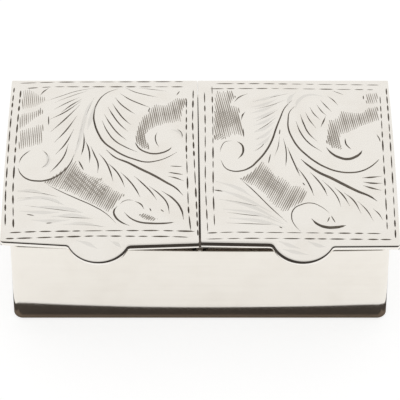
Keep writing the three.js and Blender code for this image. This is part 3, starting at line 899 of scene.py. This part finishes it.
def trace_lid(bm, side):
    """Flat face in the outline of one lid, with the thumb tab on its front edge."""
    front_left, front_right, back_right, back_left = lid_corners(side)
    before, after = LID_FRONT - FRONT_LINE[side][1], LID_FRONT - FRONT_LINE[side][2]
    left_aside, left_meet = tab_fillet(before)
    right_aside, right_meet = tab_fillet(after)
    left, middle, right = TAB_MIDDLE[side] - left_aside, TAB_MIDDLE[side], TAB_MIDDLE[side] + right_aside
    first = bm.verts.new((left, before, 0.0))
    last = swing(bm, first, (left, before - TAB_FILLET), left_meet - math.pi / 2, FILLET_STEPS)
    last = swing(bm, last, (middle, TAB_CENTRE), math.pi - left_meet - right_meet, TAB_STEPS)
    last = swing(bm, last, (right, after - TAB_FILLET), right_meet - math.pi / 2, FILLET_STEPS)
    corners = [bm.verts.new(place) for place in (front_right, back_right, back_left, front_left)]
    for here, there in zip([last] + corners, corners + [first]):
        bm.edges.new((here, there))
    bmesh.ops.contextual_create(bm, geom=bm.edges[:])


def corner_round(place, side):
    """Radius in plan at a lid's corners, which are softer on the box's outside."""
    if min((place.xy - corner.xy).length for corner in lid_corners(side)) > NEAR:
        return 0.0
    return OUTER_CORNER_ROUND if abs(place.x) > LID_WIDTH / 2 else INNER_CORNER_ROUND


def edge_round(edge, side):
    """Radius of the round on an edge of the flat lid: full on the front edge's inner half, else slight."""
    first, second = edge.verts[0].co, edge.verts[1].co
    if max(first.z, second.z) < -LID_SHEET / 2:
        return UNDER_EDGE_ROUND
    if min(first.z, second.z) < -LID_SHEET / 2:
        return corner_round(first, side)
    if max(first.y, second.y) > 0:
        return SIDE_EDGE_ROUND
    middle = (first + second) / 2
    outward = (abs(middle.x) - EDGE_CHANGE[0]) / (EDGE_CHANGE[1] - EDGE_CHANGE[0])
    radius = INNER_EDGE_ROUND + (OUTER_EDGE_ROUND - INNER_EDGE_ROUND) * clamp(outward)
    onto_tab = (LID_FRONT - middle.y) / TAB_REACH
    return radius * (1 + (TAB_EDGE_SHARE[side] - 1) * clamp(onto_tab))


def paint_front_reflection(bm):
    """Give the painted dark reflection to the part of the front edge's round that leans up by the right
    angles.
    """
    for face in bm.faces:
        lean = math.degrees(math.asin(clamp(face.normal.z, -1.0)))
        in_front = face.calc_center_median().y < LID_FRONT + INNER_EDGE_ROUND
        if in_front and REFLECTION_LEAN[0] < lean < REFLECTION_LEAN[1]:
            face.material_index = LID_FINISHES.index(PAINTED_EDGE_REFLECTION)


def make_flat_sheet(side):
    """The lid before it is arched: its top at zero height, with rounded edges, in strips that can bend."""
    bm = bmesh.new()
    trace_lid(bm, side)
    push(bm, bm.faces[:], (0, 0, -LID_SHEET))
    bmesh.ops.recalc_face_normals(bm, faces=bm.faces)
    weight = bm.edges.layers.float.new("bevel_weight_edge")
    for edge in bm.edges:
        edge[weight] = edge_round(edge, side) / INNER_EDGE_ROUND
    sheet = add_object("flat_sheet", mesh_from("flat_sheet", bm, LID_FINISHES))
    rounds = sheet.modifiers.new("rounds", "BEVEL")
    rounds.limit_method = "WEIGHT"
    rounds.width = INNER_EDGE_ROUND
    rounds.segments = EDGE_STEPS
    rounds.use_clamp_overlap = False
    bm = bmesh.new()
    bm.from_mesh(evaluated_mesh(sheet))
    paint_front_reflection(bm)
    cut_strips(bm, DEPTHWAYS, min(vert.co.y for vert in bm.verts), LID_BACK, LID_STRIPS)
    sheet.modifiers.clear()
    bm.to_mesh(sheet.data)
    bm.free()
    return sheet


def make_graver(name, slope):
    """Section of a cut of half width 1: a V whose point is below the surface and whose mouth is above it."""
    data = bpy.data.curves.new(name, "CURVE")
    spline = data.splines.new("POLY")
    spline.points.add(2)
    corners = ((0.0, -slope), (CUT_MOUTH, slope), (-CUT_MOUTH, slope))
    for point, corner in zip(spline.points, corners):
        point.co = (*corner, 0.0, 1.0)
    spline.use_cyclic_u = True
    return add_object(name, data)


def add_cut(curve, points, width, tip):
    """One tapered cut along points, thin at both ends and widest in the middle."""
    spline = curve.splines.new("BEZIER")
    last = len(points) - 1
    spline.bezier_points.add(last)
    spline.radius_interpolation = "EASE"
    for number, (knot, place) in enumerate(zip(spline.bezier_points, points)):
        knot.co = (place[0], place[1], 0.0)
        knot.handle_left_type = "AUTO"
        knot.handle_right_type = "AUTO"
        swell = max(tip, abs(math.sin(math.pi * number / last)) ** CUT_SWELL)
        knot.radius = swell * width / 2


def straight_cut(start, end):
    """Points along a straight cut, close enough to give it a full middle and thin ends."""
    start, end = Vector(start), Vector(end)
    return [start.lerp(end, part / STRAIGHT_STEPS) for part in range(STRAIGHT_STEPS + 1)]


def ground_lines(outline, lean, pitch):
    """Ends of the parallel cuts that fill an outline, each leaning from upright by an angle in degrees."""
    along = Vector((math.sin(math.radians(lean)), math.cos(math.radians(lean))))
    across = Vector((along.y, -along.x))
    corners = [Vector(corner) for corner in outline]
    reach = [corner.dot(across) for corner in corners]
    lines = []
    offset = min(reach) + pitch / 2
    while offset < max(reach):
        crossings = []
        for start, end in zip(corners, corners[1:] + corners[:1]):
            before, after = start.dot(across) - offset, end.dot(across) - offset
            if (before < 0) != (after < 0):
                crossings.append((start + (end - start) * before / (before - after)).dot(along))
        crossings.sort()
        for low, high in zip(crossings[::2], crossings[1::2]):
            lines.append((across * offset + along * low, across * offset + along * high))
        offset += pitch
    return lines


def point_along(points, distance):
    """Point at a distance along a line of points."""
    for start, end in zip(points, points[1:]):
        length = (end - start).length
        if distance < length:
            return start.lerp(end, distance / length)
        distance -= length
    return points[-1]


def dashes(line, widest, chance):
    """Short cuts along a line, of uneven length as a hand makes them: their ends and widths."""
    points = [Vector(point) for point in line]
    length = sum((end - start).length for start, end in zip(points, points[1:]))
    at = chance.uniform(0.0, DASH_GAP)
    while at < length - DASH_LENGTH / 2:
        dash = min(DASH_LENGTH * chance.uniform(*DASH_LENGTHS), length - at)
        width = widest * chance.uniform(*DASH_WIDTHS)
        yield point_along(points, at), point_along(points, at + dash), width
        at += dash + DASH_GAP * chance.uniform(*DASH_GAPS)


def cutter_layers(side, chance):
    """Every cut of a lid, in layers that are cut one after another: the cuts, their graver and finish."""
    yield [(points, SOFT_WIDTH, CUT_TIP) for points in SOFT[side]], FLAT_GRAVER, SOFT_CUT
    lines = []
    for width, group in STROKES[side].items():
        for points in group:
            lines.append((points if len(points) > 2 else straight_cut(*points), width, CUT_TIP))
    yield lines, GRAVER, CUT
    for grounds, pitch, widest in SHADING:
        lines = []
        for outline, lean in grounds[side]:
            for start, end in ground_lines(outline, lean, pitch):
                trim = (end - start) * chance.uniform(*HATCH_TRIMS)
                width = widest * chance.uniform(*HATCH_WIDTHS)
                lines.append((straight_cut(start + trim, end - trim), width, HATCH_TIP))
        yield lines, GRAVER, HATCH
    for border in BORDER[side]:
        lines = []
        for line in border:
            for start, end, width in dashes(line, DASH_WIDTH[side], chance):
                lines.append((straight_cut(start, end), width, CUT_TIP))
        yield lines, GRAVER, CUT


def make_cutter(lines, graver, finish, side):
    """Solid of one layer of cuts, to be taken out of the flat lid."""
    curve = bpy.data.curves.new("cuts", "CURVE")
    curve.dimensions = "3D"
    curve.twist_mode = "Z_UP"
    curve.bevel_mode = "OBJECT"
    curve.bevel_object = graver
    curve.use_fill_caps = True
    curve.resolution_u = CUT_STEPS
    for points, width, tip in lines:
        add_cut(curve, [on_lid(side, place) for place in points], width, tip)
    draft = add_object("cuts", curve)
    bm = bmesh.new()
    bm.from_mesh(evaluated_mesh(draft))
    bpy.data.objects.remove(draft)
    bmesh.ops.remove_doubles(bm, verts=bm.verts, dist=EXACT)
    bmesh.ops.recalc_face_normals(bm, faces=bm.faces)
    return add_object("cutter", mesh_from("cutter", bm, [finish]))


def engrave(sheet, side):
    """Cut every layer of the engraving into the flat sheet."""
    chance = random.Random("lid " + side)
    for lines, graver, finish in cutter_layers(side, chance):
        cutter = make_cutter(lines, graver, finish, side)
        cut = sheet.modifiers.new("cut", "BOOLEAN")
        cut.operation = "DIFFERENCE"
        cut.solver = "MANIFOLD"
        cut.material_mode = "TRANSFER"
        cut.object = cutter
        result = evaluated_mesh(sheet)
        sheet.modifiers.clear()
        sheet.data = result
        bpy.data.objects.remove(cutter)


def make_lid(side):
    sheet = make_flat_sheet(side)
    engrave(sheet, side)
    bm = bmesh.new()
    bm.from_mesh(sheet.data)
    finishes = list(sheet.data.materials)
    bpy.data.objects.remove(sheet)
    for vert in bm.verts:
        vert.co.z += arch_height(vert.co.y)
    place = ("lid_plate_" + side, "lid_" + side, "engraved_silver")
    finish_piece("engraved_lid_" + side, bm, finishes, *place, sharp=CUT_SHARP_ANGLE)


def make_bezel(side):
    """Thin frame under a lid, satin inside, with painted shade on its outer sides close under the lid."""
    node = "lid_bezel_" + side
    low, high = node_box(node)
    bm = bmesh.new()
    upright_frame(bm, low, high, BEZEL_CORNER, BEZEL_SHEET)
    cut_strips(bm, DEPTHWAYS, low.y, high.y, COARSE_STRIPS)
    centre = (low + high) / 2
    raise_to_arch(bm, centre.z, LID_SHEET + SOLDER_LINE)
    round_edges(bm, crisp_edges(bm, -math.inf, centre.z), RIM_ROUND, RIM_STEPS)
    bm.normal_update()
    finishes = [INNER_SILVER, BEZEL_SIDE]
    # The outer sides get the bezel side's painted shade
    for face in bm.faces:
        outward = face.normal.xy.dot(face.calc_center_median().xy - centre.xy) > 0
        if outward and abs(face.normal.z) < FACING_OUT:
            face.material_index = finishes.index(BEZEL_SIDE)
    finish_piece("bezel_" + side, bm, finishes, node, "lid_" + side, "inner_silver")


# Hinges


def barrel_end(low):
    """Place of an upright circle on the hinge axis, at a barrel's left end."""
    return Matrix.Translation((low.x, HINGE_AXIS.y, HINGE_AXIS.z)) @ Matrix.Rotation(math.pi / 2, 4, "Y")


def end_edges(bm, radius):
    """Edges in the end faces of a barrel that lie further from the hinge axis than a radius."""
    found = []
    for edge in bm.edges:
        first, second = (vert.co - HINGE_AXIS for vert in edge.verts)
        if abs(first.x - second.x) < NEAR and min(first.yz.length, second.yz.length) > radius:
            found.append(edge)
    return found


def make_knuckle(node, body, bore, shape):
    """Tube on the hinge axis whose section shape gives, with rounded ends."""
    low, high = node_box(node)
    radius = (high.y - low.y) / 2
    bm = bmesh.new()
    outer = bmesh.ops.create_circle(bm, segments=BARREL_STEPS, radius=radius, matrix=barrel_end(low))["verts"]
    bmesh.ops.create_circle(bm, segments=BARREL_STEPS, radius=bore, matrix=barrel_end(low))
    for vert in outer:
        vert.co = shape(vert.co, low, radius)
    bmesh.ops.bridge_loops(bm, edges=bm.edges[:])
    push(bm, bm.faces[:], (high.x - low.x, 0, 0))
    round_edges(bm, end_edges(bm, bore * OUTSIDE_BORE), KNUCKLE_ROUND, KNUCKLE_STEPS)
    finish_piece(node + "_silver", bm, [SILVER], node, body, "polished_silver")


def against_wall(place, low, radius):
    """Half-round section: the side towards the case is flat on the back wall."""
    if place.y < HINGE_AXIS.y - NEAR:
        place.y = low.y
    return place


def up_to_lid(place, low, radius):
    """Round section with a short leg up to the lid's underside."""
    if place.z - HINGE_AXIS.z > LEG_START * radius:
        place.z = arch_height(place.y, LID_SHEET + SOLDER_LINE)
    return place


def make_pin(side):
    node = "hinge_pin_" + side
    low, high = node_box(node)
    bm = bmesh.new()
    bmesh.ops.create_circle(
        bm, cap_ends=True, segments=PIN_STEPS, radius=(high.y - low.y) / 2, matrix=barrel_end(low)
    )
    push(bm, bm.faces[:], (high.x - low.x, 0, 0))
    round_edges(bm, end_edges(bm, 0.0), PIN_ROUND, RIM_STEPS)
    finish_piece(node + "_wire", bm, [WIRE_SILVER], node, "case", "hinge_wire")


def make_hinge(side):
    for number in (1, 2, 3):
        make_knuckle("case_knuckle_%s_%d" % (side, number), "case", PIN_RADIUS + PIN_FIT, against_wall)
    for number in (1, 2):
        make_knuckle("lid_knuckle_%s_%d" % (side, number), "lid_" + side, PIN_RADIUS + PIN_RUN, up_to_lid)
    make_pin(side)


# Stage


def make_floor():
    bm = bmesh.new()
    place = Matrix.Translation((0.0, 0.0, -FLOOR_DROP * MM))
    bmesh.ops.create_grid(bm, x_segments=1, y_segments=1, size=FLOOR_REACH * MM, matrix=place)
    floor = add_object("floor", mesh_from("floor", bm, [make_paper()]))


def card_reach(x, half):
    """How far the painted shadow card reaches past the wall: a little more towards the ends."""
    end = CARD_END["left" if x < 0 else "right"]
    return CARD_MIDDLE + (end - CARD_MIDDLE) * min(1.0, abs(x) / half) ** 2


def make_shadow_card():
    """Dark card under the box, a painted contact shadow: its edge shows only as the dark line in the foot of
    the polished wall.
    """
    low, high = node_box("base_plate")
    bm = bmesh.new()
    rounded_plate(bm, low, high, CASE_CORNER + CARD_MIDDLE)
    cut_strips(bm, WIDTHWAYS, low.x, high.x, COARSE_STRIPS)
    for vert in bm.verts:
        reach = card_reach(vert.co.x, high.x)
        vert.co.y += reach if vert.co.y > 0 else -reach
        vert.co.x *= 1 + CARD_MIDDLE / high.x
        vert.co.z = 0.0
    bmesh.ops.scale(bm, vec=(MM, MM, MM), verts=bm.verts)
    card = add_object("painted_shadow_card", mesh_from("painted_shadow_card", bm, [make_shadow_paper(low, high)]))
    card.visible_camera = False
    card.visible_diffuse = False
    card.visible_shadow = False


def make_world():
    """White studio dome, brightest behind the box, which the camera sees as plain white."""
    world = bpy.data.worlds.new("studio_dome")
    bpy.context.scene.world = world
    world.use_nodes = True
    tree = world.node_tree
    where = add_node(tree, "TexCoord").outputs["Generated"]
    away = work_out(tree, "VectorMath", "DOT_PRODUCT", where, DEPTHWAYS)
    depth = add_node(tree, "MapRange", {"Value": away, "From Min": -1.0, "From Max": 1.0})
    tone = add_node(tree, "ValToRGB", {"Fac": depth.outputs["Result"]})
    stops = tone.color_ramp
    stops.interpolation = "EASE"
    for position, colour in DOME_TONES:
        stops.elements.new(position).color = (*colour, 1.0)
    stops.elements.remove(stops.elements[0])
    stops.elements.remove(stops.elements[-1])
    path = add_node(tree, "LightPath").outputs
    looks = {"Factor": path["Is Camera Ray"], "A": tone.outputs["Color"], "B": (*WHITE, 1.0)}
    seen = add_node(tree, "Mix", looks, data_type="RGBA")
    set_inputs(tree, tree.nodes["Background"], {"Color": seen.outputs["Result"]})


def make_softbox():
    data = bpy.data.lights.new("softbox", "AREA")
    data.shape = "SQUARE"
    data.size = SOFTBOX_SIZE * MM
    data.energy = SOFTBOX_POWER
    lamp = add_object("softbox", data)
    lamp.location = Vector(SOFTBOX_PLACE) * MM
    lamp.rotation_euler = (-Vector(SOFTBOX_PLACE)).to_track_quat("-Z", "Y").to_euler()


def make_camera():
    data = bpy.data.cameras.new("photo_view")
    data.lens = VIEW_LENS
    data.sensor_width = VIEW_SENSOR
    camera = add_object("photo_view", data)
    target = Vector((0.0, 0.0, VIEW_HEIGHT)) * MM
    way = Vector((0.0, -math.cos(VIEW_ELEVATION), math.sin(VIEW_ELEVATION)))
    camera.location = target + way * VIEW_DISTANCE * MM
    camera.rotation_euler = (math.pi / 2 - VIEW_ELEVATION, 0.0, 0.0)
    bpy.context.scene.camera = camera


bpy.context.scene.view_settings.view_transform = "Standard"
make_camera()
make_world()
make_softbox()
make_floor()
make_shadow_card()

make_wall_band()
make_base_plate()
make_divider()
GRAVER = make_graver("graver", CUT_SLOPE)
FLAT_GRAVER = make_graver("flat_graver", SOFT_SLOPE)
for lid_side in SIDES:
    make_lid(lid_side)
    make_bezel(lid_side)
    make_hinge(lid_side)
bpy.data.objects.remove(GRAVER)
bpy.data.objects.remove(FLAT_GRAVER)
